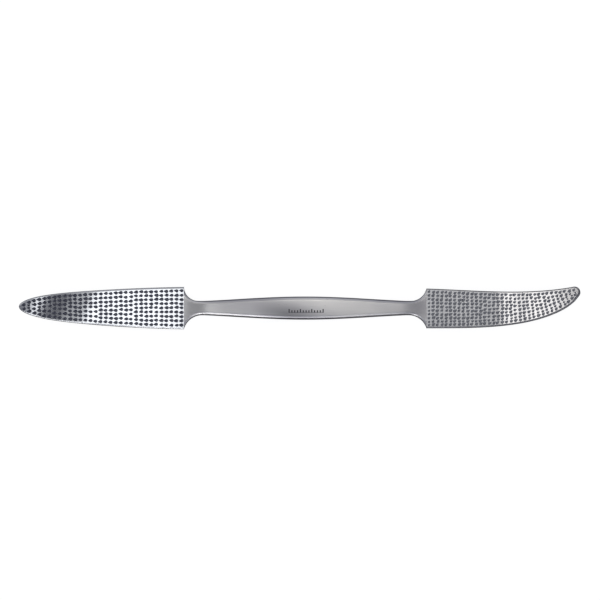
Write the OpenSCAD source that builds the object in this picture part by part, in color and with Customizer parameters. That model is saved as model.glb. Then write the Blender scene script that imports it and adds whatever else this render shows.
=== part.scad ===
// Double-ended hand rasp: a flattened steel grip between a leaf blade and a knife blade.
// +X runs along the tool towards the knife's tip, +Y towards the knife's upturned back
// edge, and +Z out of the upper face. The origin is the middle of the grip's flat underside.
// Blades are drawn from their heel: s is the distance from the heel towards the tip.

/* [Grip] */
// Half the grip's length, from its middle to either blade's heel
grip_reach = 54; // [50:0.5:70]
// Half the grip's width at its middle
grip_half = 5.15; // [4.5:0.05:6]
// Half the grip's width at the necks
neck_half = 3.2; // [2.9:0.05:3.6]
// Distance from the middle to either neck
neck_x = 45; // [40:0.5:45]
// Thickness of the grip between its two flats
grip_t = 5; // [4:0.1:5.4]
// Distance from the middle at which the flats start to run down to the blades
flat_x = 42; // [30:0.5:44]

/* [Shoulders] */
// Radius of the leaf shoulder on the +Y side
leaf_shoulder_back = 6.4; // [6.2:0.1:9]
// Radius of the leaf shoulder on the -Y side
leaf_shoulder_belly = 8.4; // [6.2:0.1:9]
// Radius of the knife shoulder on the +Y side
knife_shoulder_back = 7; // [6.2:0.1:9]
// Radius of the knife shoulder on the -Y side
knife_shoulder_belly = 8.2; // [6.2:0.1:9]

/* [Blades] */
// Thickness of both blades at the heel
heel_t = 2.6; // [2:0.1:3.4]
// Thickness of both blades at the tip
tip_t = 1.6; // [1:0.1:2]
// Length of the leaf blade
leaf_len = 72.8; // [60:0.2:90]
// Half the leaf's width at its heel
leaf_half = 9.4; // [8:0.1:9.4]
// How far the leaf's tip rises out of the tool's plane
leaf_lift = 5; // [0:0.25:6]
// How far the leaf's tip leans towards +Y
leaf_lean = 0.6; // [0:0.1:1.5]
// Length of the knife blade
knife_len = 68.6; // [60:0.2:90]
// Distance from the tool's axis to the knife's back edge at the heel
knife_back = 8.7; // [8:0.1:9.2]
// Distance from the tool's axis to the lowest part of the knife's belly
knife_belly = 9; // [8:0.1:9.4]
// Radius of the knife's rounded tip
knife_tip_r = 2.6; // [2:0.1:3]

/* [Teeth] */
// Height of a tooth above the face
tooth_h = 0.45; // [0.2:0.05:0.6]
// Distance between the leaf's columns of teeth
leaf_pitch = 2.28; // [2:0.02:3]
// Distance between neighbouring teeth across the leaf
leaf_gap = 1.9; // [1.6:0.05:2.4]
// Distance between the knife's columns of teeth
knife_pitch = 1.92; // [1.6:0.02:2.6]
// Distance between neighbouring teeth across the knife
knife_gap = 1.6; // [1.4:0.05:2.2]

/* [Hidden] */

mid_z = grip_t / 2;
tall = 20;
neck_turn = 135;
// Slope of the thinning where it meets a blade, as a share of its mean slope
heel_slope = 0.6;
flare_r = 5;
flare_top = 11;

// Teeth sizes as [length along the blade, width across it]
leaf_tooth = [1.1, 1.25];
knife_tooth = [0.9, 1];
tooth_lean = 0.1;
leaf_first = 0.9;
leaf_rim = 1.6;
knife_first = 1.2;
knife_rim = 1.2;
knife_tip_room = 1.4;
straight_columns = 16;

leaf_columns = floor((leaf_len - 1 - leaf_first) / leaf_pitch) + 1;
lift_from = leaf_first + (straight_columns - 0.5) * leaf_pitch;
knife_columns = floor((knife_len - knife_tip_room - knife_first) / knife_pitch) + 1;

steel = [0.72, 0.73, 0.75];
bright_steel = [0.86, 0.87, 0.89];
dark_steel = [0.45, 0.47, 0.52];

// ---- Grip ----

// Half the grip's width at x, from the middle out to the neck
function grip_w(x) = grip_half
    - (grip_half - neck_half) * (1 - cos(neck_turn * x / neck_x)) / (1 - cos(neck_turn));

// Half the handle's thickness at x: even along the flats, then thinning down to the heel
function handle_t(x) = let (
    run = max(0, (x - flat_x) / (grip_reach - flat_x)),
    share = 1 - (3 - heel_slope) * pow(run, 2) + (2 - heel_slope) * pow(run, 3)
) heel_t / 2 + (grip_t - heel_t) / 2 * share;

// A half outline, drawn from the middle out to +X, and its mirror image
function both_ways(half) = concat(
    [for (i = [len(half) - 1 : -1 : 0]) [-half[i][0], half[i][1]]],
    half
);

// A full turn of the grip's outline, with a flare at each end that clears the shoulders
module grip_barrel() {
    step = neck_x / 12;
    grip = [for (i = [0.5 : 11.5]) [i * step, grip_w(i * step)]];
    flare = [for (a = [0 : 15 : 90]) [neck_x + flare_r * sin(a), neck_half + flare_r * (1 - cos(a))]];
    end = grip_reach + 1;
    rim = [[neck_x + flare_r, flare_top], [end, flare_top], [end, 0]];
    translate([0, 0, mid_z])
        rotate([0, 90, 0])
            rotate_extrude($fn = 96)
                rotate(90)
                    mirror([0, 1])
                        polygon(both_ways(concat(grip, flare, rim)));
}

// Circle of radius r that meets the neck line and runs out through a heel's corner
module shoulder(side, edge, r, corner) {
    reach = sqrt(r * r - pow(neck_half + r - corner, 2));
    translate([side * (grip_reach - reach), edge * (neck_half + r)])
        circle(r = r, $fn = 96);
}

module handle_plan() {
    difference() {
        polygon([
            [-grip_reach, -leaf_half],
            [grip_reach, -knife_belly],
            [grip_reach, knife_back],
            [-grip_reach, leaf_half]
        ]);
        shoulder(-1, 1, leaf_shoulder_back, leaf_half);
        shoulder(-1, -1, leaf_shoulder_belly, leaf_half);
        shoulder(1, 1, knife_shoulder_back, knife_back);
        shoulder(1, -1, knife_shoulder_belly, knife_belly);
    }
}

module handle_side() {
    steps = 8;
    ramp = [for (i = [0 : steps]) flat_x + (grip_reach - flat_x) * i / steps];
    upper = both_ways([for (x = ramp) [x, handle_t(x)]]);
    lower = [for (i = [len(upper) - 1 : -1 : 0]) [upper[i][0], -upper[i][1]]];
    polygon(concat(upper, lower));
}

// Extrudes a side view, drawn as [x, z], across the whole width
module across() {
    rotate([90, 0, 0])
        linear_extrude(height = 2 * tall, center = true)
            children();
}

module handle() {
    color(steel)
        intersection() {
            linear_extrude(height = tall)
                handle_plan();
            translate([0, 0, mid_z])
                across()
                    handle_side();
            grip_barrel();
        }
}

// ---- Leaf blade ----

// Half the leaf's width: slightly bowed sides that close in a rounded point
function leaf_w(s) = let (u = s / leaf_len)
    leaf_half * (1 - 0.11 * u - 0.42 * u * u) * sqrt(1 - pow(u, 11));

// The leaf's centre line in plan, and its height at s
function leaf_y(s) = leaf_lean * pow(s / leaf_len, 2);
function leaf_rise(s) = s <= lift_from ? 0 : leaf_lift * pow((s - lift_from) / (leaf_len - lift_from), 2);

// Half a blade's thickness at s
function blade_t(s, length) = heel_t / 2 + (tip_t - heel_t) / 2 * s / length;

// Height of a leaf face at s; face is 1 for the upper one and -1 for the lower one
function leaf_z(s, face) = leaf_rise(s) + face * blade_t(s, leaf_len);

module leaf_plan() {
    sides = [for (u = [0 : 0.05 : 0.86]) u * leaf_len];
    point = [for (d = [8, 6, 4.4, 3, 1.8, 0.9, 0.3]) leaf_len - d];
    along = concat(sides, point);
    back = [for (s = along) [s, leaf_y(s) + leaf_w(s)]];
    belly = [for (i = [len(along) - 1 : -1 : 0]) [along[i], leaf_y(along[i]) - leaf_w(along[i])]];
    polygon(concat(back, [[leaf_len, leaf_y(leaf_len)]], belly));
}

// The upturned part has one flat facet to each column of teeth
module leaf_side() {
    bends = [for (i = [straight_columns : leaf_columns - 1]) leaf_first + (i - 0.5) * leaf_pitch];
    along = concat([0], bends, [leaf_len + 0.2]);
    polygon(concat(
        [for (s = along) [s, leaf_z(s, 1)]],
        [for (i = [len(along) - 1 : -1 : 0]) [along[i], leaf_z(along[i], -1)]]
    ));
}

// Places a shape drawn from a heel outwards on the leaf's end of the tool
module at_leaf() {
    translate([-grip_reach, 0, mid_z])
        mirror([1, 0, 0])
            children();
}

module leaf_blade() {
    color(bright_steel)
        at_leaf()
            intersection() {
                linear_extrude(height = tall, center = true)
                    leaf_plan();
                across()
                    leaf_side();
            }
}

// ---- Knife blade ----

// The hollow back edge, and the belly that sweeps up to the tip
function knife_back_y(s) = let (u = s / knife_len)
    knife_back - 2 * u - 6.15 * u * u + 9.55 * u * u * u;
function knife_belly_y(s) = let (u = max(0, (s - 3.5) / (knife_len - 4.1)))
    15.1 * (1 - pow(1 - min(1, pow(u, 3)), 0.65)) - knife_belly;

// The tip's round is an arc from the back edge down to the belly
module knife_plan() {
    end = knife_len - knife_tip_r;
    centre = [end, knife_back_y(end) - knife_tip_r];
    back = [for (i = [0 : 14]) [end * i / 14, knife_back_y(end * i / 14)]];
    tip = [for (a = [75 : -15 : -45]) centre + knife_tip_r * [cos(a), sin(a)]];
    along = concat([for (d = [2, 4, 6.5, 9]) knife_len - d], [for (s = [56 : -4 : 4]) s], [0]);
    belly = [for (s = along) [s, knife_belly_y(s)]];
    polygon(concat(back, tip, belly));
}

module knife_side() {
    heel = blade_t(0, knife_len);
    tip = blade_t(knife_len + 1, knife_len);
    polygon([[0, heel], [knife_len + 1, tip], [knife_len + 1, -tip], [0, -heel]]);
}

module at_knife() {
    translate([grip_reach, 0, mid_z])
        children();
}

module knife_blade() {
    color(steel)
        at_knife()
            intersection() {
                linear_extrude(height = tall, center = true)
                    knife_plan();
                across()
                    knife_side();
            }
}

// ---- Teeth ----

// One tooth, seated on its base: steep towards the tip, and running back to the face
module tooth(size) {
    reach = size[0] / 2;
    rotate([90, 0, 0])
        linear_extrude(height = size[1], center = true)
            polygon([[-reach, 0], [reach, 0], [reach - tooth_lean, tooth_h]]);
}

// Stands a tooth at s, y on a face that passes through z0 at s0 and z1 at s1
module seat(s0, z0, s1, z1, y, face) {
    slope = atan2(z1 - z0, s1 - s0);
    translate([(s0 + s1) / 2, y, (z0 + z1) / 2])
        rotate([0, -slope, 0])
            mirror([0, 0, face < 0 ? 1 : 0])
                children();
}

// Evenly spread places between two ends, about gap apart
function spread(low, high, gap) = let (n = max(0, round((high - low) / gap)))
    n == 0 ? [(low + high) / 2] : [for (j = [0 : n]) low + (high - low) * j / n];

module leaf_teeth(face) {
    for (i = [0 : leaf_columns - 1]) {
        s = leaf_first + i * leaf_pitch;
        s0 = s - leaf_pitch / 2;
        s1 = s + leaf_pitch / 2;
        room = max(0, leaf_w(s) - leaf_rim);
        for (y = spread(leaf_y(s) - room, leaf_y(s) + room, leaf_gap))
            seat(s0, leaf_z(s0, face), s1, leaf_z(s1, face), y, face)
                tooth(leaf_tooth);
    }
}

module knife_teeth(face) {
    for (i = [0 : knife_columns - 1]) {
        s = knife_first + i * knife_pitch;
        s0 = s - knife_pitch / 2;
        s1 = s + knife_pitch / 2;
        z0 = face * blade_t(s0, knife_len);
        z1 = face * blade_t(s1, knife_len);
        for (y = spread(knife_belly_y(s) + knife_rim, knife_back_y(s) - knife_rim, knife_gap))
            seat(s0, z0, s1, z1, y, face)
                tooth(knife_tooth);
    }
}

module leaf_teeth_top() {
    color(dark_steel)
        at_leaf()
            leaf_teeth(1);
}

module leaf_teeth_bottom() {
    color(dark_steel)
        at_leaf()
            leaf_teeth(-1);
}

module knife_teeth_top() {
    color(dark_steel)
        at_knife()
            knife_teeth(1);
}

module knife_teeth_bottom() {
    color(dark_steel)
        at_knife()
            knife_teeth(-1);
}

handle();
leaf_blade();
knife_blade();
leaf_teeth_top();
leaf_teeth_bottom();
knife_teeth_top();
knife_teeth_bottom();
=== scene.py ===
"""Looks of the double-ended rasp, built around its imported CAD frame.

The tool's lengths are millimetres in the CAD's own frame, and become metres when a mesh
is made. The studio's and the materials' lengths are metres.
On a blade, s runs from the heel towards the tip, y runs across the tool, and h stands
straight out of a face. face is 1 for the upper face and -1 for the lower one.
"""

import math
import random

import bmesh
import bpy
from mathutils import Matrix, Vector
from mathutils.geometry import delaunay_2d_cdt

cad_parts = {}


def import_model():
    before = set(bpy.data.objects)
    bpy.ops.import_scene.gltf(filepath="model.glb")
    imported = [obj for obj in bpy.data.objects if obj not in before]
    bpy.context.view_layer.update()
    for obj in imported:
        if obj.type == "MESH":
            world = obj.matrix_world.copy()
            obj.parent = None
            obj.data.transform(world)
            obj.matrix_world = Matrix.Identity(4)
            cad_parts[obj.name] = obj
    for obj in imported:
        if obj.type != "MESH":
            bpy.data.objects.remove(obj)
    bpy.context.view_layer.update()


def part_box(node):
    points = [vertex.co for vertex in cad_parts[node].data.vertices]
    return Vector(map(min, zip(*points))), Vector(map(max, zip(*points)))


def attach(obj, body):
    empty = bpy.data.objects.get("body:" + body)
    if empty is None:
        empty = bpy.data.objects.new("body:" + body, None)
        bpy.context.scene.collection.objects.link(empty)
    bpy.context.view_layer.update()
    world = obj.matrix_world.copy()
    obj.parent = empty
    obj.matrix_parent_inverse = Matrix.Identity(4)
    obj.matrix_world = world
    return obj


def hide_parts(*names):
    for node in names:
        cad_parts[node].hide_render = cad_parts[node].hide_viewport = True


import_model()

MM = 0.001


def box_mm(node):
    """A CAD node's lowest and highest corners, in millimetres."""
    low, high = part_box(node)
    return low / MM, high / MM


# ---- Sizes of the blades ----

# Thickness at either tip
TIP_T = 1.6
# How far the leaf's point leans towards +Y
LEAF_LEAN = 0.6
# Where the leaf starts to curve up, and how much sooner it does so for each mm towards +Y
LIFT_FROM = 36.24
LEAF_TWIST = 0.35
# Distance from the tool's axis to the knife's back edge at the heel
KNIFE_BACK = 8.7
# The knife's rounded tip, and how far short of its end the belly's own curve stops
KNIFE_TIP_R = 2.6
KNIFE_BELLY_STOP = 2.2
# The rim falls RIM_DOWN below the face. RIM_BEVEL of 1 makes it round and 2 a flat bevel.
RIM_DOWN = 0.7
RIM_BEVEL = 1.25
RIM_STEPS = 6
# Flat strip between the pits and the rim
RIM_LAND = 0.08
# Spacing of the mesh's points along an edge: over the last FINE_TIP, and elsewhere
TIP_SPACING = 0.28
SIDE_SPACING = 0.7
FINE_TIP = 8

# ---- Sizes taken from the frame ----

handle_low, handle_high = box_mm("handle")
leaf_low, leaf_high = box_mm("leaf_blade")
knife_low, knife_high = box_mm("knife_blade")

REACH = handle_high.x
MID_Z = (handle_low.z + handle_high.z) / 2
GRIP_T = handle_high.z - handle_low.z
HEEL_T = knife_high.z - knife_low.z
LEAF_LEN = -REACH - leaf_low.x
LEAF_HALF = -leaf_low.y
LEAF_LIFT = leaf_high.z - MID_Z - TIP_T / 2
KNIFE_LEN = knife_high.x - REACH
KNIFE_BELLY = -knife_low.y

# ---- Sizes of the grip ----

GRIP_HALF = 5.15
NECK_HALF = 3.2
# Distance from the middle to either neck, and how much of a cosine the side has run by then
NECK_X = 45.0
NECK_TURN = math.radians(135)
# Distance from the middle at which the flats start to run down to the heels
FLAT_X = 42.0
# How steeply they still run down at the heel: 0 would be level
HEEL_SLOPE = 0.6
# The shoulders' radii and half widths at the heel. (1, -1) is the knife's end and -Y edge.
SHOULDER_R = {(-1, 1): 6.4, (-1, -1): 8.4, (1, 1): 7.0, (1, -1): 8.2}
SHOULDER_END = {
    (-1, 1): LEAF_HALF,
    (-1, -1): LEAF_HALF,
    (1, 1): KNIFE_BACK,
    (1, -1): KNIFE_BELLY,
}
# The sides' rounding: its width and its depth, on the grip and at the heels
GRIP_ROUND = 1.6
GRIP_DROP = 2.12
HEEL_ROUND = 1.3
HEEL_DROP = 1.28
# Height of a flat's middle over its edges
GRIP_CROWN = 0.08

# ---- Sizes of the teeth ----

# length runs from a pit's middle to its point, width is half the pit's, and height the burr's
LEAF_TOOTH = {"length": 1.12, "width": 0.8, "depth": 0.42, "height": 0.36}
KNIFE_TOOTH = {"length": 0.94, "width": 0.69, "depth": 0.28, "height": 0.3}
# Least distances from a pit to the next one, to the strip inside the rim and to the heel
TOOTH_GAP = 0.08
RIM_GAP = 0.02
HEEL_GAP = 0.15
# One try moves a tooth this far from the heel, the rim or a tooth that it touches
SETTLE_TRIES = 18
OFF_HEEL = 0.06
OFF_RIM = 0.08
OFF_TOOTH = 0.04
# What is left of a tooth's size after a try in which it touches another
SHRINK_LENGTH = 0.96
SHRINK_WIDTH = 0.965


# ---- Blade shapes ----


def smooth(t):
    """0 up to t = 0, 1 from t = 1 on, and an even S between them."""
    t = min(1.0, max(0.0, t))
    return t * t * (3 - 2 * t)


class Leaf:
    """The leaf blade, which runs towards -X and curves up to its rounded point."""

    side = -1
    length = LEAF_LEN

    @staticmethod
    def rim(s, y):
        """Width of the plain rim at a point of the outline: narrower towards the point."""
        return 0.72 - 0.3 * smooth((s - 38) / 20)

    @staticmethod
    def half_width(s):
        """An almost straight taper that turns into a rounded point."""
        u = min(1.0, s / LEAF_LEN)
        return LEAF_HALF * (1 - 0.11 * u - 0.42 * u * u) * math.sqrt(max(0.0, 1 - u**11))

    @staticmethod
    def centre(s):
        return LEAF_LEAN * (s / LEAF_LEN) ** 2

    def back(self, s):
        return self.centre(s) + self.half_width(s)

    def belly(self, s):
        return self.centre(s) - self.half_width(s)

    @staticmethod
    def rise(s, y):
        """How far the leaf has curved up out of the tool's plane."""
        past = max(0.0, s + LEAF_TWIST * y - LIFT_FROM)
        return LEAF_LIFT * (past / (LEAF_LEN - LIFT_FROM)) ** 2

    def outline(self):
        """Points from the heel's back corner round the tip to the heel's belly corner."""
        crowded_at_tip = [LEAF_LEN * (1 - (1 - i / 600) ** 2) for i in range(601)]
        back = [(s, self.back(s)) for s in crowded_at_tip]
        belly = [(s, self.belly(s)) for s in reversed(crowded_at_tip[:-1])]
        return back + belly


class Knife:
    """The knife blade, which runs towards +X: a hollow back and a belly that sweeps up."""

    side = 1
    length = KNIFE_LEN

    def rim(self, s, y):
        """Width of the plain rim at a point of the outline: wider on the belly and the tip."""
        on_belly = smooth((self.back(s) - y - 1) / 4)
        wider = 0.34 + 0.12 * smooth((s - 46) / 12)
        return 0.44 + wider * on_belly + 0.32 * smooth((s - KNIFE_LEN + 4) / 4)

    @staticmethod
    def back(s):
        """Hollow, and highest at the tip."""
        u = s / KNIFE_LEN
        return KNIFE_BACK - 2 * u - 6.15 * u**2 + 9.55 * u**3

    @staticmethod
    def belly(s):
        """Straight from the heel, then sweeping up ever more steeply to the tip."""
        u = min(1.0, max(0.0, (s - 3.5) / (KNIFE_LEN - 4.1)))
        return 15.1 * (1 - (1 - u**3) ** 0.65) - KNIFE_BELLY

    @staticmethod
    def rise(s, y):
        """Slow waves left by hand grinding."""
        swell = smooth(s / 8) * smooth((50 - s) / 16)
        return 0.03 * swell * math.sin(2 * math.pi * (s + 0.15 * y - 26.5) / 21)

    def outline(self):
        """Points from the heel's back corner round the tip to the heel's belly corner."""
        end = self.length - KNIFE_TIP_R
        centre_y = self.back(end) - KNIFE_TIP_R
        back = [(end * i / 200, self.back(end * i / 200)) for i in range(198)]
        # The tip's arc, from just past its top round to its lower right
        angles = [math.radians(96 - 2 * i) for i in range(71)]
        r = KNIFE_TIP_R
        tip = [(end + r * math.cos(a), centre_y + r * math.sin(a)) for a in angles]
        stop = self.length - KNIFE_BELLY_STOP
        belly = [(stop * (1 - i / 200), self.belly(stop * (1 - i / 200))) for i in range(201)]
        return back + tip + belly


def face_height(blade, s, y, face):
    """Height of a face above the tool's middle plane."""
    half = HEEL_T / 2 + (TIP_T - HEEL_T) / 2 * s / blade.length
    return blade.rise(s, y) + face * half


def on_face(blade, s, y, face, h=0.0):
    """The point h above a face at s, y."""
    step = 0.05
    z = face_height(blade, s, y, face)
    along = (face_height(blade, s + step, y, face) - z) / step
    across = (face_height(blade, s, y + step, face) - z) / step
    out = Vector((-along, -across, 1)).normalized() * face * h
    return Vector((blade.side * (REACH + s + out.x), y + out.y, MID_Z + z + out.z))


def resample(points, spacing):
    """Points along a line, spacing(point) apart, keeping its two ends."""
    kept = [points[0]]
    for p in points[1:]:
        if math.dist(p, kept[-1]) >= spacing(p):
            kept.append(p)
    if math.dist(points[-1], kept[-1]) < 0.4 * spacing(points[-1]):
        kept.pop()
    kept.append(points[-1])
    return kept


def inset(points, distance):
    """The line moved inwards by distance(s, y), its ends kept on the heel. It runs clockwise."""
    moved = []
    last = len(points) - 1
    for i, (s, y) in enumerate(points):
        s0, y0 = points[max(0, i - 1)]
        s1, y1 = points[min(last, i + 1)]
        step = distance(s, y) / math.hypot(s1 - s0, y1 - y0)
        moved.append((s + (y1 - y0) * step, y - (s1 - s0) * step))
    moved[0] = (0.0, moved[0][1])
    moved[last] = (0.0, moved[last][1])
    return moved


# ---- Teeth ----


class Tooth:
    """One punched tooth: a drop-shaped pit with its point to the tip and a burr at its back."""

    def __init__(self, s, y, turn, size, scale, burr):
        self.s = s
        self.y = y
        self.turn = turn
        self.length = size["length"] * scale
        self.width = size["width"] * scale
        self.depth = size["depth"] * scale
        self.height = size["height"] * burr

    def place(self, u, v):
        """s and y of a point that is u ahead of the pit's middle and v to its side."""
        c, d = math.cos(self.turn), math.sin(self.turn)
        return self.s + u * c - v * d, self.y + u * d + v * c

    def distance(self, point):
        """Distance from the pit's middle to a point in s, y."""
        return math.dist(point, (self.s, self.y))


# Where a pit's points lie, from its point (0) to its back (1)
PIT_STOPS = (0.0, 0.12, 0.28, 0.45, 0.6, 0.75, 0.87, 0.96, 1.0)
# Its point, its back and its deepest place, in pit lengths ahead of its middle
PIT_FRONT = 1.0
PIT_BACK = -0.86
PIT_DEEP = -0.34
# The ring halfway down: its length, width and depth as shares of the pit's
HALFWAY_LENGTH = 0.66
HALFWAY_WIDTH = 0.62
HALFWAY_DEPTH = 0.8
# Where a burr's lines run, in pit lengths: at its ends, and what its middle adds to that
BURR_FOOT = (-0.36, -0.42)
BURR_CREST = (-0.34, -0.36)
BURR_HEEL = (-0.4, -0.56)
BURR_END = -0.37
# A burr's width as a share of its pit's
BURR_WIDTH = 0.92
# How far a burr's heel is sunk into the face
BURR_ROOT = 0.03


def pit_outline(tooth):
    """The pit's edge in u, v, from its point round one side to the back and up the other."""
    half = []
    for t in PIT_STOPS:
        width = 1.75 * t**0.85 * math.sqrt(1 - t**2.2)
        half.append((PIT_FRONT + (PIT_BACK - PIT_FRONT) * t, width))
    ring = [(u * tooth.length, v * tooth.width) for u, v in half]
    return ring + [(u, -v) for u, v in reversed(ring[1:-1])]


def pit_floor(tooth):
    """The ring halfway down the pit, as u, v, h, and the deepest point."""
    deep = PIT_DEEP * tooth.length
    front = PIT_FRONT * tooth.length
    ring = []
    for u, v in pit_outline(tooth):
        inner = deep + (u - deep) * HALFWAY_LENGTH
        slope = 1 - max(0.0, (inner - deep) / (front - deep))
        ring.append((inner, v * HALFWAY_WIDTH, -HALFWAY_DEPTH * tooth.depth * slope))
    return ring, (deep, 0.0, -tooth.depth)


def burr_shape(tooth):
    """A small closed solid: a steep front over the pit, a sharp crest, and a sloping back."""
    reach = tooth.width * BURR_WIDTH
    rows = []
    for i in range(1, 8):
        angle = math.radians(-90 + 180 * i / 8)
        v = reach * math.sin(angle)
        bow = math.cos(angle)
        foot, crest, heel = (
            (at_ends + further * bow) * tooth.length
            for at_ends, further in (BURR_FOOT, BURR_CREST, BURR_HEEL)
        )
        top = tooth.height * bow**1.3
        rows.append([
            (foot, v, -0.7 * tooth.depth * bow),
            (crest, v, top),
            (crest * 0.55 + heel * 0.45, v, top * 0.62),
            (heel, v, -BURR_ROOT),
        ])
    ends = [(BURR_END * tooth.length, side, -BURR_ROOT) for side in (-reach, reach)]
    return rows, ends


def holds(ring, point):
    """Whether a closed ring of points goes round a point."""
    x, y = point
    odd = False
    for (x0, y0), (x1, y1) in zip(ring, ring[1:] + ring[:1]):
        if (y0 > y) != (y1 > y) and x < x0 + (y - y0) * (x1 - x0) / (y1 - y0):
            odd = not odd
    return odd


def apart(ring, other):
    """Whether two pits' edges keep TOOTH_GAP between them."""
    if any(math.dist(a, b) < TOOTH_GAP for a in ring for b in other):
        return False
    return not (any(holds(other, a) for a in ring) or any(holds(ring, b) for b in other))


def outline_of(tooth):
    """The pit's edge in s, y."""
    return [tooth.place(u, v) for u, v in pit_outline(tooth)]


def step_away(tooth, point, distance):
    """Moves a tooth straight away from a point."""
    share = distance / max(0.1, tooth.distance(point))
    tooth.s += (tooth.s - point[0]) * share
    tooth.y += (tooth.y - point[1]) * share


def off_rim(outline, blade, edge):
    """Whether a pit's outline keeps clear of the rim along a stretch of the blade's edge."""
    land = RIM_LAND + RIM_GAP
    return all(math.dist(a, b) > blade.rim(*b) + land for a in outline for b in edge)


def settle(tooth, blade, edge, neighbours):
    """Moves and shrinks a tooth until it's clear of the rim and the others, if it can be."""
    taken = [(other, outline_of(other)) for other in neighbours]
    for _ in range(SETTLE_TRIES):
        outline = outline_of(tooth)
        off_heel = all(s > HEEL_GAP for s, _ in outline)
        clear = off_rim(outline, blade, edge)
        touched = [other for other, ring in taken if not apart(outline, ring)]
        if off_heel and clear and not touched:
            return True
        if not off_heel:
            tooth.s += OFF_HEEL
        if not clear:
            step_away(tooth, min(edge, key=tooth.distance), OFF_RIM)
        for other in touched:
            step_away(tooth, (other.s, other.y), OFF_TOOTH)
        if touched:
            tooth.length *= SHRINK_LENGTH
            tooth.width *= SHRINK_WIDTH
    return False


def keep_clear(teeth, blade):
    """The teeth that fit without touching. Those beside the rim find their places first."""
    # How far off a tooth counts as beside the rim, and can touch the rim or another tooth
    rim_zone, edge_reach, tooth_reach = 2, 3.5, 3
    edge = resample(blade.outline(), lambda _: 0.3)
    placed = []

    def is_inner(tooth):
        return all(tooth.distance(p) > rim_zone for p in edge)

    for tooth in sorted(teeth, key=is_inner):
        beside = [p for p in edge if tooth.distance(p) < edge_reach]
        neighbours = [other for other in placed if tooth.distance((other.s, other.y)) < tooth_reach]
        if settle(tooth, blade, beside, neighbours):
            placed.append(tooth)
    return placed


def spread(low, high, gap):
    """Evenly spaced places from low to high, about gap apart."""
    count = max(0, round((high - low) / gap))
    if count == 0:
        return [(low + high) / 2]
    return [low + (high - low) * i / count for i in range(count + 1)]


def leaf_teeth(seed):
    """Hand-punched teeth in columns across the leaf.

    Each column drifts sideways from the one before it, less and less towards the edges.
    """
    chance = random.Random(seed)
    teeth = []
    first, pitch, gap = 1.1, 2.25, 1.85
    tip_in, rim_in = 1.9, 1.02
    columns = int((LEAF_LEN - tip_in - first) / pitch) + 1
    drift = 0.0
    for i in range(columns):
        s = first + i * pitch
        middle = leaf.centre(s)
        room = max(0.0, leaf.half_width(s) - leaf.rim(s, 0) - rim_in)
        drift = 0.6 * drift + chance.uniform(-0.36, 0.36)
        closer = gap - 0.4 * smooth((s - 64) / 5)
        for y in spread(middle - room, middle + room, closer):
            inner = 1 - abs(y - middle) / room if room > 1.2 else 0.0
            shift_s = chance.uniform(-0.16, 0.16) if 0 < i < columns - 1 else 0.0
            shift_y = drift * inner + chance.uniform(-0.14, 0.14)
            scale = chance.uniform(0.9, 1.06)
            burr = chance.uniform(0.75, 1.1)
            turn = math.radians(chance.uniform(-9, 9))
            teeth.append(Tooth(s + shift_s, y + shift_y, turn, LEAF_TOOTH, scale, burr))
    return keep_clear(teeth, leaf)


def knife_teeth(seed):
    """Finer teeth on the knife, in columns that lean over as the blade turns upwards."""
    chance = random.Random(seed)
    teeth = []
    first, pitch, gap = 1.15, 1.92, 1.58
    tip_in, back_in = 1.2, 1.4
    first_scale = 0.8
    columns = int((KNIFE_LEN - tip_in - first) / pitch) + 2
    for i in range(columns):
        s = first + i * pitch
        lean = math.radians(26) * smooth((s - 30) / 45)
        belly_in = 1.35 + 0.1 * smooth((s - 45) / 15)
        low, high = knife.belly(min(s, KNIFE_LEN)) + belly_in, knife.back(s) - back_in
        middle = (low + high) / 2
        for y in spread(low, high, gap):
            across = s - (y - middle) * math.tan(lean)
            low_here, high_here = knife.belly(across) + belly_in, knife.back(across) - back_in
            share = (y - low) / (high - low) if high > low else 0.5
            y_here = low_here + (high_here - low_here) * share
            shift_s = chance.uniform(-0.22, 0.22) if i else 0.0
            shift_y = chance.uniform(-0.15, 0.15)
            scale = chance.uniform(0.88, 1.14) * (1 if i else first_scale)
            burr = chance.uniform(0.7, 1.1)
            turn = math.radians(chance.uniform(34, 62) - 16 * smooth(s / 30)) + 0.7 * lean
            teeth.append(Tooth(across + shift_s, y_here + shift_y, turn, KNIFE_TOOTH, scale, burr))
    return keep_clear(teeth, knife)


# ---- Meshes ----


# A blade's materials, by place in its list
GROUND, PIT, RIM = 0, 1, 2


def make_piece(name, points, faces, materials, replaced=(), sharp=30):
    """A mesh object from points in millimetres and (corner list, material index) faces.

    Edges that bend by more than sharp degrees, or part two materials, are left sharp.
    """
    mesh = bpy.data.meshes.new(name)
    mesh.from_pydata([p * MM for p in points], [], [f for f, _ in faces])
    for material in materials:
        mesh.materials.append(material)
    mesh.polygons.foreach_set("material_index", [m for _, m in faces])
    piece = bpy.data.objects.new(name, mesh)
    bpy.context.scene.collection.objects.link(piece)
    work = bmesh.new()
    work.from_mesh(mesh)
    bmesh.ops.recalc_face_normals(work, faces=work.faces)
    for f in work.faces:
        f.smooth = True
    for edge in work.edges:
        bent = edge.calc_face_angle(0) > math.radians(sharp)
        mixed = len({f.material_index for f in edge.link_faces}) > 1
        edge.smooth = not (bent or mixed)
    work.to_mesh(mesh)
    work.free()
    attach(piece, "root")
    if replaced:
        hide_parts(*replaced)
    return piece


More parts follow.
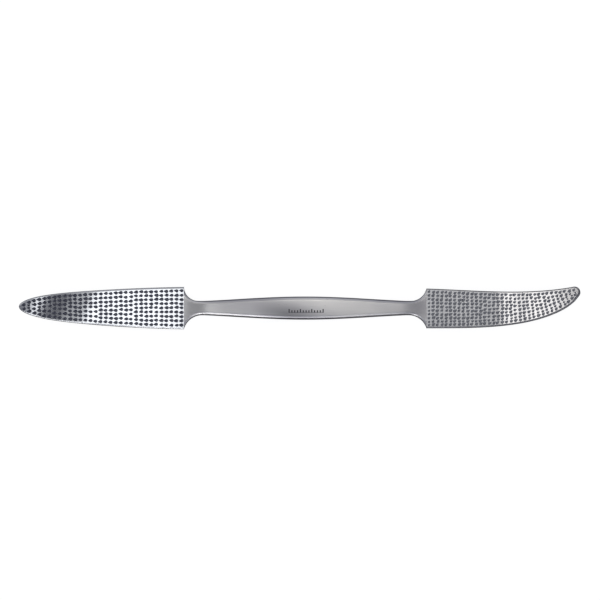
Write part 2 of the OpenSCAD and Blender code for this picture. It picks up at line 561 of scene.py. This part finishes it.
def add_face_mesh(blade, face, ring, teeth, points, faces):
    """Adds one toothed face inside ring. Returns the places of ring's points in points."""
    flat = [Vector(p) for p in ring]
    loops = [list(range(len(ring) - 1, -1, -1))]
    for tooth in teeth:
        start = len(flat)
        flat += [Vector(tooth.place(u, v)) for u, v in pit_outline(tooth)]
        loops.append(list(range(start, len(flat))))
    made, _, triangles, came_from, _, inside = delaunay_2d_cdt(flat, [], loops, 1, 1e-5)
    base = len(points)
    points += [on_face(blade, p.x, p.y, face) for p in made]
    place = {}
    for i, sources in enumerate(came_from):
        for source in sources:
            place[source] = base + i
    for corners, owners in zip(triangles, inside):
        if owners == [0]:
            faces.append(([base + c for c in corners], GROUND))
    for tooth, loop in zip(teeth, loops[1:]):
        add_pit(blade, face, tooth, [place[i] for i in loop], points, faces)
    return [place[i] for i in range(len(ring))]


def add_pit(blade, face, tooth, edge, points, faces):
    """Adds the walls and floor of one pit below its edge."""
    ring, (deep_u, deep_v, deep_h) = pit_floor(tooth)
    start = len(points)
    for u, v, h in ring:
        points.append(on_face(blade, *tooth.place(u, v), face, h))
    points.append(on_face(blade, *tooth.place(deep_u, deep_v), face, deep_h))
    bottom = len(points) - 1
    count = len(ring)
    for i in range(count):
        j = (i + 1) % count
        faces.append(([edge[i], edge[j], start + j, start + i], PIT))
        faces.append(([start + i, start + j, bottom], PIT))


def add_rim(blade, face, edge, border, points, faces):
    """Adds one face's rounded rim outside border. Returns its lines of points, inner first."""
    lines = [border]
    for step in range(RIM_STEPS + 1):
        angle = math.radians(90 * step / RIM_STEPS)
        share = 1 - math.sin(angle) ** RIM_BEVEL
        line = inset(edge, lambda s, y: blade.rim(s, y) * share)
        drop = RIM_DOWN * (1 - max(0.0, math.cos(angle)) ** RIM_BEVEL)
        start = len(points)
        points += [on_face(blade, s, y, face, -drop) for s, y in line]
        lines.append(list(range(start, len(points))))
        add_strip(lines[-2], lines[-1], RIM if step else GROUND, faces)
    return lines


def blade_piece(name, blade, teeth_by_face, materials, node):
    """A blade body: two toothed faces, a rounded rim, a thin edge wall and a flat heel."""

    def spacing(p):
        return TIP_SPACING if p[0] > blade.length - FINE_TIP else SIDE_SPACING

    edge = resample(blade.outline(), spacing)
    points, faces = [], []
    lines = {}
    for face in (1, -1):
        field = inset(edge, lambda s, y: blade.rim(s, y) + RIM_LAND)
        border = add_face_mesh(blade, face, field, teeth_by_face[face], points, faces)
        lines[face] = add_rim(blade, face, edge, border, points, faces)
    add_strip(lines[1][-1], lines[-1][-1], RIM, faces)
    heel = [line[0] for line in lines[1]] + [line[0] for line in reversed(lines[-1])]
    heel += [line[-1] for line in lines[-1]] + [line[-1] for line in reversed(lines[1])]
    faces.append((heel, GROUND))
    return make_piece(name, points, faces, materials, [node])


def add_strip(line_a, line_b, material, faces):
    """Joins two lines of as many points with four-sided faces."""
    for i in range(len(line_a) - 1):
        faces.append(([line_a[i], line_a[i + 1], line_b[i + 1], line_b[i]], material))


def burr_piece(name, blade, face, teeth, material, node):
    """The raised burrs of one face, each a closed solid rooted in the back of its pit."""
    points, faces = [], []
    for tooth in teeth:
        rows, ends = burr_shape(tooth)
        start = len(points)
        for row in (*rows, ends):
            points += [on_face(blade, *tooth.place(u, v), face, h) for u, v, h in row]
        last = start + 4 * (len(rows) - 1)
        first_end = last + 4
        for a in range(start, last, 4):
            for k in range(4):
                n = (k + 1) % 4
                faces.append(([a + k, a + n, a + 4 + n, a + 4 + k], 0))
        for k in range(4):
            n = (k + 1) % 4
            faces.append(([first_end, start + n, start + k], 0))
            faces.append(([first_end + 1, last + k, last + n], 0))
    return make_piece(name, points, faces, [material], [node], sharp=45)


# ---- Handle ----


def handle_edge(x, edge, inward=0.0):
    """Where the handle's side stands at x, moved inward; edge is 1 for +Y and -1 for -Y."""
    side = 1 if x > 0 else -1
    far = abs(x)
    turn = NECK_TURN * min(far, NECK_X) / NECK_X
    grip = GRIP_HALF - (GRIP_HALF - NECK_HALF) * (1 - math.cos(turn)) / (1 - math.cos(NECK_TURN))
    r = SHOULDER_R[side, edge]
    reach = math.sqrt(r * r - (NECK_HALF + r - SHOULDER_END[side, edge]) ** 2)
    past = max(0.0, far - (REACH - reach))
    wide = r + inward
    return max(grip - inward, NECK_HALF + r - math.sqrt(max(0.0, wide * wide - past * past)))


def handle_half_t(x):
    """Half the handle's thickness: even along the flats, then thinning down to the heel."""
    run = max(0.0, abs(x) - FLAT_X) / (REACH - FLAT_X)
    share = 1 - (3 - HEEL_SLOPE) * run**2 + (2 - HEEL_SLOPE) * run**3
    return HEEL_T / 2 + (GRIP_T - HEEL_T) / 2 * share


def grip_height(x, y, edge):
    """Height of the crowned flat above the middle plane."""
    return handle_half_t(x) - GRIP_CROWN * (y / handle_edge(x, edge)) ** 2


def handle_section(x, steps=10, flats=8):
    """Points round the handle at x, from the middle of the top towards +Y and right round."""
    # The rounding has changed from the grip's to a heel's 2 mm before the heel
    blend = smooth((abs(x) - FLAT_X) / (REACH - 2 - FLAT_X))
    round_y = GRIP_ROUND + (HEEL_ROUND - GRIP_ROUND) * blend
    round_z = GRIP_DROP + (HEEL_DROP - GRIP_DROP) * blend
    quarters = {}
    for edge in (1, -1):
        flat = handle_edge(x, edge, round_y)
        quarter = [(flat * i / flats, grip_height(x, flat * i / flats, edge)) for i in range(flats)]
        for i in range(steps + 1):
            a = math.pi / 2 * i / steps
            y = handle_edge(x, edge, round_y * (1 - math.sin(a)))
            drop = round_z * (1 - math.cos(a))
            quarter.append((y, max(0.0, grip_height(x, y, edge) - drop)))
        quarter.append((quarter[-1][0], 0.0))
        quarters[edge] = quarter
    back, belly = quarters[1], quarters[-1]
    ring = [(y, z) for y, z in back]
    ring += [(y, -z) for y, z in reversed(back[1:-1])]
    ring += [(-y, -z) for y, z in belly[:-1]]
    ring += [(-y, z) for y, z in reversed(belly[1:])]
    return ring


def handle_stations():
    """Places along X, closest together where a shoulder's sharp edge meets the heel."""
    heel = [0, 0.03, 0.08, 0.15, 0.25, 0.4, 0.6, 0.85, 1.15, 1.5, 1.9, 2.3]
    shoulder = heel + [2.8 + 0.5 * i for i in range(25)]
    grip = [REACH - shoulder[-1] - 1.5 * i for i in range(1, 26)]
    right = sorted([REACH - d for d in shoulder] + [x for x in grip if x > 0.5])
    return [-x for x in reversed(right)] + [0.0] + right


def handle_piece(materials):
    """The grip with its necks and fishtail shoulders, lofted along X."""
    points, faces = [], []
    stations = handle_stations()
    for x in stations:
        ring = handle_section(x if x else 1e-6)
        points += [Vector((x, y, MID_Z + z)) for y, z in ring]
    count = len(ring)
    for i in range(len(stations) - 1):
        a, b = i * count, (i + 1) * count
        for k in range(count):
            n = (k + 1) % count
            faces.append(([a + k, a + n, b + n, b + k], 0))
    faces.append((list(range(count)), 0))
    faces.append((list(range(len(points) - count, len(points))), 0))
    return make_piece("satin_handle", points, faces, materials, ["handle"])


def etched_ticks(material):
    """A plain etched scale on the grip: one even row of upright ticks on a base line."""
    left, base, pitch, count = -7.4, -1.9, 1.26, 13
    tick_w, tick_h, long_tick_h, line_h, line_drop = 0.5, 0.95, 1.5, 0.16, 0.14
    sunk, proud = -0.05, 0.012
    bars = [
        (left + pitch * i, base, tick_w, long_tick_h if i % 4 == 0 else tick_h)
        for i in range(count)
    ]
    bars.append((left, base - line_drop, pitch * (count - 1) + tick_w, line_h))
    points, faces = [], []
    for x0, y0, wide, tall in bars:
        start = len(points)
        for lift in (sunk, proud):
            for x, y in ((x0, y0), (x0 + wide, y0), (x0 + wide, y0 + tall), (x0, y0 + tall)):
                points.append(Vector((x, y, MID_Z + grip_height(x, y, -1) + lift)))
        faces.append(([start, start + 1, start + 2, start + 3], 0))
        faces.append(([start + 4, start + 5, start + 6, start + 7], 0))
        for k in range(4):
            n = (k + 1) % 4
            faces.append(([start + k, start + n, start + 4 + n, start + 4 + k], 0))
    return make_piece("etched_ticks", points, faces, [material])


# ---- Materials ----

# How many soft clouds of duller steel there are to a metre, roughly
CLOUDS = 70.0
# The grip's bands of painted shade: darker slanting bands that stand in for dim reflections. They
# slant away from straight across the tool, and BAND_SCALE is the wave texture's scale as met along
# the tool.
BAND_SLANT = math.radians(72)
BAND_SCALE = 4.2
BAND_PHASE = 4.55
BAND_PAINTED_SHADE = (0.66, 0.66, 0.694)
# The grip's patch of painted shade, a darker oval towards -Y that stands in for a dim reflection:
# its middle, turn, and half its length and width, in metres
PATCH_AT = (-0.0085, -0.0024, 0)
PATCH_TURN = math.radians(-14)
PATCH_SIZE = (0.017, 0.0065, 1)
PATCH_PAINTED_SHADE = (0.6, 0.6, 0.61)


def noise(material, scale, detail=2.0, size=(1, 1, 1)):
    """A noise texture in the piece's own coordinates, scaled by size along each axis."""
    nodes, links = material.node_tree.nodes, material.node_tree.links
    mapping = nodes.new("ShaderNodeMapping")
    mapping.inputs["Scale"].default_value = size
    texture = nodes.new("ShaderNodeTexNoise")
    texture.inputs["Scale"].default_value = scale
    texture.inputs["Detail"].default_value = detail
    links.new(nodes["Texture Coordinate"].outputs["Object"], mapping.inputs["Vector"])
    links.new(mapping.outputs["Vector"], texture.inputs["Vector"])
    return texture.outputs["Fac"]


def set_colour(material, amount, low, high):
    """Runs a material's colour from low to high as amount goes from 0 to 1."""
    nodes, links = material.node_tree.nodes, material.node_tree.links
    tone = nodes.new("ShaderNodeMixRGB")
    tone.inputs["Color1"].default_value = (*low, 1)
    tone.inputs["Color2"].default_value = (*high, 1)
    links.new(amount, tone.inputs["Fac"])
    links.new(tone.outputs["Color"], nodes["Principled BSDF"].inputs["Base Color"])


def set_roughness(material, roughness, brushed, cloud):
    """Varies the roughness with the brushing and, more slowly, with soft clouds.

    It is 0.65 of roughness at least. The brushing adds up to 0.3 of it, the clouds 0.4.
    """
    nodes, links = material.node_tree.nodes, material.node_tree.links
    fine = nodes.new("ShaderNodeMath")
    fine.operation = "MULTIPLY_ADD"
    fine.inputs[1].default_value = 0.3 * roughness
    fine.inputs[2].default_value = 0.65 * roughness
    slow = nodes.new("ShaderNodeMath")
    slow.operation = "MULTIPLY_ADD"
    slow.inputs[1].default_value = 0.4 * roughness
    links.new(brushed, fine.inputs[0])
    links.new(cloud, slow.inputs[0])
    links.new(fine.outputs[0], slow.inputs[2])
    links.new(slow.outputs[0], nodes["Principled BSDF"].inputs["Roughness"])


def set_bump(material, height, relief):
    """Raises the surface by up to relief metres where height is 1."""
    nodes, links = material.node_tree.nodes, material.node_tree.links
    bump = nodes.new("ShaderNodeBump")
    bump.inputs["Strength"].default_value = 0.35
    bump.inputs["Distance"].default_value = relief
    links.new(height, bump.inputs["Height"])
    links.new(bump.outputs["Normal"], nodes["Principled BSDF"].inputs["Normal"])


def steel(name, colour, roughness, grain, spread_of_tone=0.06, relief=0.00001):
    """Brushed or polished steel. grain is (along the tool, across it) in marks per metre."""
    material = bpy.data.materials.new(name)
    material.use_nodes = True
    nodes = material.node_tree.nodes
    nodes["Principled BSDF"].inputs["Metallic"].default_value = 1.0
    nodes.new("ShaderNodeTexCoord")
    brushed = noise(material, 1.0, 3.0, (grain[0], grain[1], grain[1]))
    low = [c * (1 - spread_of_tone) for c in colour]
    high = [min(1.0, c * (1 + spread_of_tone)) for c in colour]
    set_colour(material, brushed, low, high)
    set_roughness(material, roughness, brushed, noise(material, CLOUDS))
    set_bump(material, brushed, relief)
    return material


def multiply(material, amount, shade):
    """Multiplies a material's colour by shade where amount is 1."""
    nodes, links = material.node_tree.nodes, material.node_tree.links
    colour = nodes["Principled BSDF"].inputs["Base Color"]
    mix = nodes.new("ShaderNodeMixRGB")
    mix.blend_type = "MULTIPLY"
    mix.inputs["Color2"].default_value = (*shade, 1)
    links.new(amount, mix.inputs["Fac"])
    links.new(colour.links[0].from_socket, mix.inputs["Color1"])
    links.new(mix.outputs["Color"], colour)


def add_painted_shade_bands(material):
    """Slanting bands of painted shade that darken the grip's colour, standing in for dim
    reflections.
    """
    nodes, links = material.node_tree.nodes, material.node_tree.links
    slant = nodes.new("ShaderNodeMapping")
    slant.inputs["Rotation"].default_value = (0, 0, -BAND_SLANT)
    wave = nodes.new("ShaderNodeTexWave")
    wave.bands_direction = "X"
    wave.inputs["Scale"].default_value = BAND_SCALE / math.cos(BAND_SLANT)
    wave.inputs["Distortion"].default_value = 1.2
    wave.inputs["Detail"].default_value = 2.0
    wave.inputs["Detail Scale"].default_value = 3.0
    wave.inputs["Phase Offset"].default_value = BAND_PHASE
    links.new(nodes["Texture Coordinate"].outputs["Object"], slant.inputs["Vector"])
    links.new(slant.outputs["Vector"], wave.inputs["Vector"])
    multiply(material, wave.outputs["Fac"], BAND_PAINTED_SHADE)


def add_painted_shade_patch(material):
    """One soft oval patch of painted shade, darker than the rest, that fades out to its edge."""
    nodes, links = material.node_tree.nodes, material.node_tree.links
    patch = nodes.new("ShaderNodeMapping")
    patch.vector_type = "TEXTURE"
    patch.inputs["Location"].default_value = PATCH_AT
    patch.inputs["Rotation"].default_value = (0, 0, PATCH_TURN)
    patch.inputs["Scale"].default_value = PATCH_SIZE
    fade = nodes.new("ShaderNodeTexGradient")
    fade.gradient_type = "SPHERICAL"
    links.new(nodes["Texture Coordinate"].outputs["Object"], patch.inputs["Vector"])
    links.new(patch.outputs["Vector"], fade.inputs["Vector"])
    multiply(material, fade.outputs["Fac"], PATCH_PAINTED_SHADE)


def floor_material():
    """A plain pale floor with a faint paper tooth, bright enough to read as white."""
    material = bpy.data.materials.new("pale_floor")
    material.use_nodes = True
    nodes = material.node_tree.nodes
    shader = nodes["Principled BSDF"]
    shader.inputs["Roughness"].default_value = 0.9
    shader.inputs["Specular IOR Level"].default_value = 0.1
    shader.inputs["Emission Color"].default_value = (1, 1, 1, 1)
    shader.inputs["Emission Strength"].default_value = FLOOR_GLOW
    nodes.new("ShaderNodeTexCoord")
    set_colour(material, noise(material, 900), (0.28, 0.28, 0.28), (0.32, 0.32, 0.32))
    return material


# ---- Studio ----

# What the camera takes in at the height of the grip's top, and the middle of that in X, Y
VIEW_WIDTH = 0.2667
VIEW_CENTRE = (-0.0023, 0.0036)
CAMERA_HEIGHT = 1.2
LIGHT_HEIGHT = 0.9
# How bright the floor glows by itself
FLOOR_GLOW = 0.9
# The way to the sky's high end
SKY_AXIS = (-0.1, 0.3, 0.95)
# Places from the sky's low end (0) to its high end (1), and how bright each is
SKY_TONES = (
    (0.0, 0.05),
    (0.46, 0.06),
    (0.5, 0.36),
    (0.6, 0.42),
    (0.75, 0.28),
    (0.9, 0.16),
    (0.97, 0.075),
)
SKY_TINT = (0.95, 0.98, 1.12)
# The lights' tints
COOL = (0.95, 0.975, 1.0)
WARM = (1.0, 0.975, 0.94)


def camera():
    """The camera, looking straight down as in the photograph."""
    data = bpy.data.cameras.new("camera")
    data.sensor_width = 36
    data.lens = data.sensor_width * (CAMERA_HEIGHT - GRIP_T * MM) / VIEW_WIDTH
    data.dof.use_dof = False
    data.clip_end = 20
    item = bpy.data.objects.new("camera", data)
    item.location = (*VIEW_CENTRE, CAMERA_HEIGHT)
    bpy.context.scene.collection.objects.link(item)
    bpy.context.scene.camera = item


def floor():
    """The bench top, left out of reflections, which see the studio's sky instead."""
    half = 6.0
    mesh = bpy.data.meshes.new("floor")
    corners = [(-half, -half, 0), (half, -half, 0), (half, half, 0), (-half, half, 0)]
    mesh.from_pydata(corners, [], [(0, 1, 2, 3)])
    mesh.materials.append(floor_material())
    item = bpy.data.objects.new("floor", mesh)
    item.visible_glossy = False
    bpy.context.scene.collection.objects.link(item)


def area_light(name, size, radiance, colour=(1, 1, 1)):
    """A rectangular light of even brightness, facing down until it is turned."""
    data = bpy.data.lights.new(name, "AREA")
    data.shape = "RECTANGLE"
    data.size, data.size_y = size
    data.energy = radiance * math.pi * size[0] * size[1]
    data.color = colour
    item = bpy.data.objects.new(name, data)
    bpy.context.scene.collection.objects.link(item)
    return item


def softbox(name, low, high, radiance, colour=(1, 1, 1)):
    """A level light over the bench, from low to high in plan."""
    item = area_light(name, (high[0] - low[0], high[1] - low[1]), radiance, colour)
    item.location = ((low[0] + high[0]) / 2, (low[1] + high[1]) / 2, LIGHT_HEIGHT)


def panel(name, azimuth, elevation, distance, size, radiance):
    """A light beside the bench that faces the tool. Azimuth 0 is in front, at -Y."""
    item = area_light(name, size, radiance)
    a, e = math.radians(azimuth), math.radians(elevation)
    away = Vector((math.sin(a) * math.cos(e), -math.cos(a) * math.cos(e), math.sin(e)))
    item.location = away * distance
    item.rotation_euler = away.to_track_quat("Z", "Y").to_euler()


def world():
    """A studio's surroundings: dim overhead, brighter at mid height, pale to the camera."""
    item = bpy.data.worlds.new("studio")
    item.use_nodes = True
    bpy.context.scene.world = item
    nodes, links = item.node_tree.nodes, item.node_tree.links
    background = nodes["Background"]
    place = nodes.new("ShaderNodeTexCoord")
    tilt = nodes.new("ShaderNodeVectorMath")
    tilt.operation = "DOT_PRODUCT"
    tilt.inputs[1].default_value = SKY_AXIS
    ramp = nodes.new("ShaderNodeValToRGB")
    path = nodes.new("ShaderNodeLightPath")
    choose = nodes.new("ShaderNodeMixRGB")
    lift = nodes.new("ShaderNodeMapRange")
    lift.inputs["From Min"].default_value = -1
    links.new(place.outputs["Generated"], tilt.inputs[0])
    links.new(tilt.outputs["Value"], lift.inputs["Value"])
    links.new(lift.outputs["Result"], ramp.inputs["Fac"])
    elements = ramp.color_ramp.elements
    elements.remove(elements[1])
    for where, tone in SKY_TONES:
        element = elements[0] if where == 0 else elements.new(where)
        element.color = (*(tone * tint for tint in SKY_TINT), 1)
    links.new(path.outputs["Is Camera Ray"], choose.inputs["Fac"])
    links.new(ramp.outputs["Color"], choose.inputs["Color1"])
    choose.inputs["Color2"].default_value = (1, 1, 1, 1)
    links.new(choose.outputs["Color"], background.inputs["Color"])


# ---- The object ----

leaf, knife = Leaf(), Knife()

satin = steel("satin_grip_steel", (0.82, 0.81, 0.805), 0.31, (230, 5300), 0.05, 0.000003)
# Painted shade on the grip: darker slanting bands
add_painted_shade_bands(satin)
# Painted shade on the grip: one darker oval patch, standing in for a dim reflection
add_painted_shade_patch(satin)
polished = steel("polished_leaf_steel", (0.84, 0.845, 0.86), 0.12, (900, 3500), 0.05, 0.000003)
ground = steel("ground_knife_steel", (0.82, 0.82, 0.835), 0.1, (1200, 4000), 0.08, 0.000004)
# The pits' dark colour is painted shade: the faces' steel darkened where shade falls in the pits
leaf_pit = steel("shaded_leaf_pit_steel", (0.135, 0.14, 0.175), 0.36, (3000, 3000), 0.2)
# The rims' darker colours are painted shade: they darken the rounded edges into grey and dark
# outlines
leaf_rim = steel("painted_shade_leaf_rim_steel", (0.65, 0.66, 0.68), 0.26, (900, 900), 0.08)
knife_rim = steel("painted_shade_knife_rim_steel", (0.31, 0.31, 0.325), 0.36, (900, 900), 0.1)
# The pits' dark colour is painted shade: the faces' steel darkened where shade falls in the pits
knife_pit = steel("shaded_knife_pit_steel", (0.3, 0.305, 0.33), 0.5, (3000, 3000), 0.2)
# The burrs' colour is painted shade: the faces' steel darkened to the grey tone of their shading
burr_steel = steel("painted_shade_burr_steel", (0.56, 0.57, 0.6), 0.3, (3000, 3000), 0.15)
etched = steel("etched_mark_steel", (0.07, 0.07, 0.08), 0.6, (2500, 2500), 0.2)

handle_piece([satin])
etched_ticks(etched)

leaf_fields = {1: leaf_teeth(17), -1: leaf_teeth(12)}
knife_fields = {1: knife_teeth(31), -1: knife_teeth(24)}
leaf_steels = [polished, leaf_pit, leaf_rim]
knife_steels = [ground, knife_pit, knife_rim]
blade_piece("leaf_body", leaf, leaf_fields, leaf_steels, "leaf_blade")
blade_piece("knife_body", knife, knife_fields, knife_steels, "knife_blade")
for word, face in (("top", 1), ("bottom", -1)):
    for title, blade, fields in (("leaf", leaf, leaf_fields), ("knife", knife, knife_fields)):
        name, node = f"{title}_burrs_{word}", f"{title}_teeth_{word}"
        burr_piece(name, blade, face, fields[face], burr_steel, node)

# ---- The view ----

bpy.context.scene.view_settings.view_transform = "Standard"
camera()
floor()
world()
# Steel mirrors whatever it tilts towards, so each of these brightens some stretch of it
softbox("left_softbox", (-0.2, -0.1), (-0.093, 0.1), 1.4, COOL)
softbox("left_far_fill", (-0.6, -0.2), (-0.22, 0.2), 0.12)
softbox("left_fill", (-0.093, -0.2), (0.02, 0.05), 0.33, COOL)
softbox("tip_softbox", (0.158, -0.2), (0.206, -0.06), 1.2, COOL)
softbox("right_fill", (0.08, -0.03), (0.16, 0.06), 0.46)
softbox("right_softbox", (0.172, -0.06), (0.221, 0.2), 1.3, WARM)
softbox("right_far_fill", (0.25, -0.05), (0.42, 0.2), 0.42)
softbox("top_fill", (-0.085, 0.06), (0.15, 0.3), 1.6, WARM)
softbox("back_softbox", (-0.6, 0.35), (0.6, 0.75), 0.55)
softbox("front_fill", (-0.1, -0.8), (0.035, -0.19), 1.0, COOL)
panel("front_panel", -6, 27, 1.6, (0.17, 1.3), 4.1)
panel("back_panel", 180, 28, 1.8, (1.6, 1.2), 0.35)
panel("left_rear_panel", 225, 25, 1.8, (1.3, 0.8), 0.9)
panel("right_front_panel", 45, 12, 1.8, (1.3, 0.4), 0.9)
